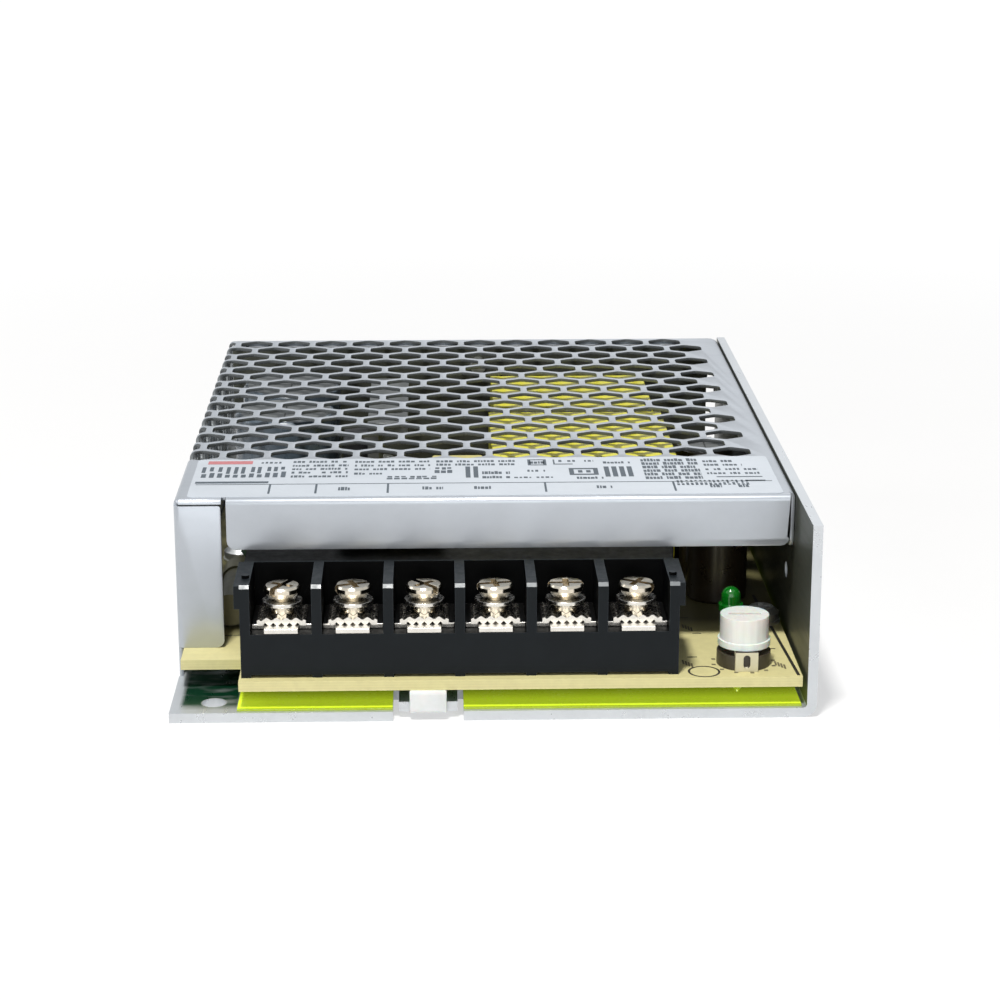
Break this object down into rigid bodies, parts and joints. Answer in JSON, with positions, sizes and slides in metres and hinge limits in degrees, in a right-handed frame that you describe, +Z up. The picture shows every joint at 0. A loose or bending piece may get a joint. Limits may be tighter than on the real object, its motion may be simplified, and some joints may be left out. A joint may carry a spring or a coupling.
{
  "type": "mesh case switching power supply",
  "caption": "Enclosed mains power supply: folded base, honeycomb-perforated cover, screw terminal block, output voltage knob and green lamp.",
  "frame": {"origin": "middle of the case's underside, the centre of the bounding box's bottom", "axes": "+X to the right seen from the terminals, +Y from the terminals to the back, +Z up"},
  "size_m": [0.097, 0.129, 0.0301],
  "materials": {
    "base_metal": "folded mill-finish sheet",
    "cover_metal": "folded and perforated plated sheet",
    "label_film": "satin silver sticker",
    "insulation_film": "tinted clear film",
    "board": "paper laminate board",
    "plated_steel": "zinc plated",
    "white_nylon": "moulded nylon",
    "block_plastic": "moulded glass-filled plastic",
    "terminal_metal": "nickel plated",
    "screw_metal": "nickel plated",
    "trimmer_plastic": "moulded",
    "knob_plastic": "milky moulded",
    "lamp_plastic": "tinted epoxy",
    "ferrite": "sintered",
    "winding_tape": "wound tape",
    "yellow_tape": "polyester tape",
    "copper_wire": "enamelled wire",
    "capacitor_box": "moulded box",
    "fuse_body": "ceramic tube",
    "varistor_coat": "dipped coat",
    "thermistor_coat": "dipped coat",
    "black_epoxy": "moulded",
    "bulk_sleeve": "shrunk sleeve",
    "heatsink_metal": "plain",
    "output_sleeve": "shrunk sleeve",
    "grey_epoxy": "moulded",
    "y_capacitor_coat": "dipped coat",
    "resistor_coat": "lacquered"
  },
  "bodies": {
    "case": {"chassis": "base_metal", "cover": "cover_metal", "label": "label_film", "insulation_sheet": "insulation_film", "circuit_board": "board", "board_standoffs": "plated_steel", "board_screws": "plated_steel", "front_support": "white_nylon", "cover_screws": "plated_steel", "terminal_block": "block_plastic", "terminal_plate_1": "terminal_metal", "terminal_plate_2": "terminal_metal", "terminal_plate_3": "terminal_metal", "terminal_plate_4": "terminal_metal", "terminal_plate_5": "terminal_metal", "terminal_plate_6": "terminal_metal", "terminal_clamp_1": "terminal_metal", "terminal_clamp_2": "terminal_metal", "terminal_clamp_3": "terminal_metal", "terminal_clamp_4": "terminal_metal", "terminal_clamp_5": "terminal_metal", "terminal_clamp_6": "terminal_metal", "trimmer_body": "trimmer_plastic", "indicator_lamp": "lamp_plastic", "transformer_core": "ferrite", "transformer_winding": "winding_tape", "transformer_tape": "yellow_tape", "storage_choke_core": "ferrite", "storage_choke_tape": "yellow_tape", "line_choke_core": "ferrite", "line_choke_winding": "copper_wire", "x_capacitors": "capacitor_box", "fuse": "fuse_body", "surge_varistor": "varistor_coat", "inrush_thermistor": "thermistor_coat", "bridge_rectifier": "black_epoxy", "bulk_capacitor_1": "bulk_sleeve", "bulk_capacitor_2": "bulk_sleeve", "transistor_heatsink": "heatsink_metal", "switch_transistor": "black_epoxy", "output_rectifier": "black_epoxy", "rectifier_clamp": "plated_steel", "output_capacitors": "output_sleeve", "optocoupler": "grey_epoxy", "y_capacitors": "y_capacitor_coat", "small_resistors": "resistor_coat"},
    "knob": {"trimmer_knob": "knob_plastic"},
    "washer_1": {"terminal_washer_1": "terminal_metal"},
    "screw_1": {"terminal_screw_1": "screw_metal"},
    "washer_2": {"terminal_washer_2": "terminal_metal"},
    "screw_2": {"terminal_screw_2": "screw_metal"},
    "washer_3": {"terminal_washer_3": "terminal_metal"},
    "screw_3": {"terminal_screw_3": "screw_metal"},
    "washer_4": {"terminal_washer_4": "terminal_metal"},
    "screw_4": {"terminal_screw_4": "screw_metal"},
    "washer_5": {"terminal_washer_5": "terminal_metal"},
    "screw_5": {"terminal_screw_5": "screw_metal"},
    "washer_6": {"terminal_washer_6": "terminal_metal"},
    "screw_6": {"terminal_screw_6": "screw_metal"}
  },
  "joints": [
    {"name": "knob_turn", "type": "hinge", "parent": "case", "child": "knob", "pos_m": [0.0382, -0.057, 0.00925], "axis": [0, 0, 1], "range_deg": [-105, 105]},
    {"name": "screw_lift_1", "type": "slide", "parent": "case", "child": "washer_1", "axis": [0, 0, 1], "range_m": [-0.00115, 0.0018]},
    {"name": "screw_turn_1", "type": "hinge", "parent": "washer_1", "child": "screw_1", "pos_m": [-0.03166, -0.0565, 0.01675], "axis": [0, 0, 1], "range_deg": [-690.5, 1080.5]},
    {"name": "screw_lift_2", "type": "slide", "parent": "case", "child": "washer_2", "axis": [0, 0, 1], "range_m": [-0.00115, 0.0018]},
    {"name": "screw_turn_2", "type": "hinge", "parent": "washer_2", "child": "screw_2", "pos_m": [-0.02098, -0.0565, 0.01675], "axis": [0, 0, 1], "range_deg": [-690.5, 1080.5]},
    {"name": "screw_lift_3", "type": "slide", "parent": "case", "child": "washer_3", "axis": [0, 0, 1], "range_m": [-0.00115, 0.0018]},
    {"name": "screw_turn_3", "type": "hinge", "parent": "washer_3", "child": "screw_3", "pos_m": [-0.0103, -0.0565, 0.01675], "axis": [0, 0, 1], "range_deg": [-690.5, 1080.5]},
    {"name": "screw_lift_4", "type": "slide", "parent": "case", "child": "washer_4", "axis": [0, 0, 1], "range_m": [-0.00115, 0.0018]},
    {"name": "screw_turn_4", "type": "hinge", "parent": "washer_4", "child": "screw_4", "pos_m": [0.00038, -0.0565, 0.01675], "axis": [0, 0, 1], "range_deg": [-690.5, 1080.5]},
    {"name": "screw_lift_5", "type": "slide", "parent": "case", "child": "washer_5", "axis": [0, 0, 1], "range_m": [-0.00115, 0.0018]},
    {"name": "screw_turn_5", "type": "hinge", "parent": "washer_5", "child": "screw_5", "pos_m": [0.01106, -0.0565, 0.01675], "axis": [0, 0, 1], "range_deg": [-690.5, 1080.5]},
    {"name": "screw_lift_6", "type": "slide", "parent": "case", "child": "washer_6", "axis": [0, 0, 1], "range_m": [-0.00115, 0.0018]},
    {"name": "screw_turn_6", "type": "hinge", "parent": "washer_6", "child": "screw_6", "pos_m": [0.02174, -0.0565, 0.01675], "axis": [0, 0, 1], "range_deg": [-690.5, 1080.5]}
  ],
  "couplings": [
    {"joint": "screw_turn_1", "follows": "screw_lift_1", "rad_per_m": 10472},
    {"joint": "screw_turn_2", "follows": "screw_lift_2", "rad_per_m": 10472},
    {"joint": "screw_turn_3", "follows": "screw_lift_3", "rad_per_m": 10472},
    {"joint": "screw_turn_4", "follows": "screw_lift_4", "rad_per_m": 10472},
    {"joint": "screw_turn_5", "follows": "screw_lift_5", "rad_per_m": 10472},
    {"joint": "screw_turn_6", "follows": "screw_lift_6", "rad_per_m": 10472}
  ]
}
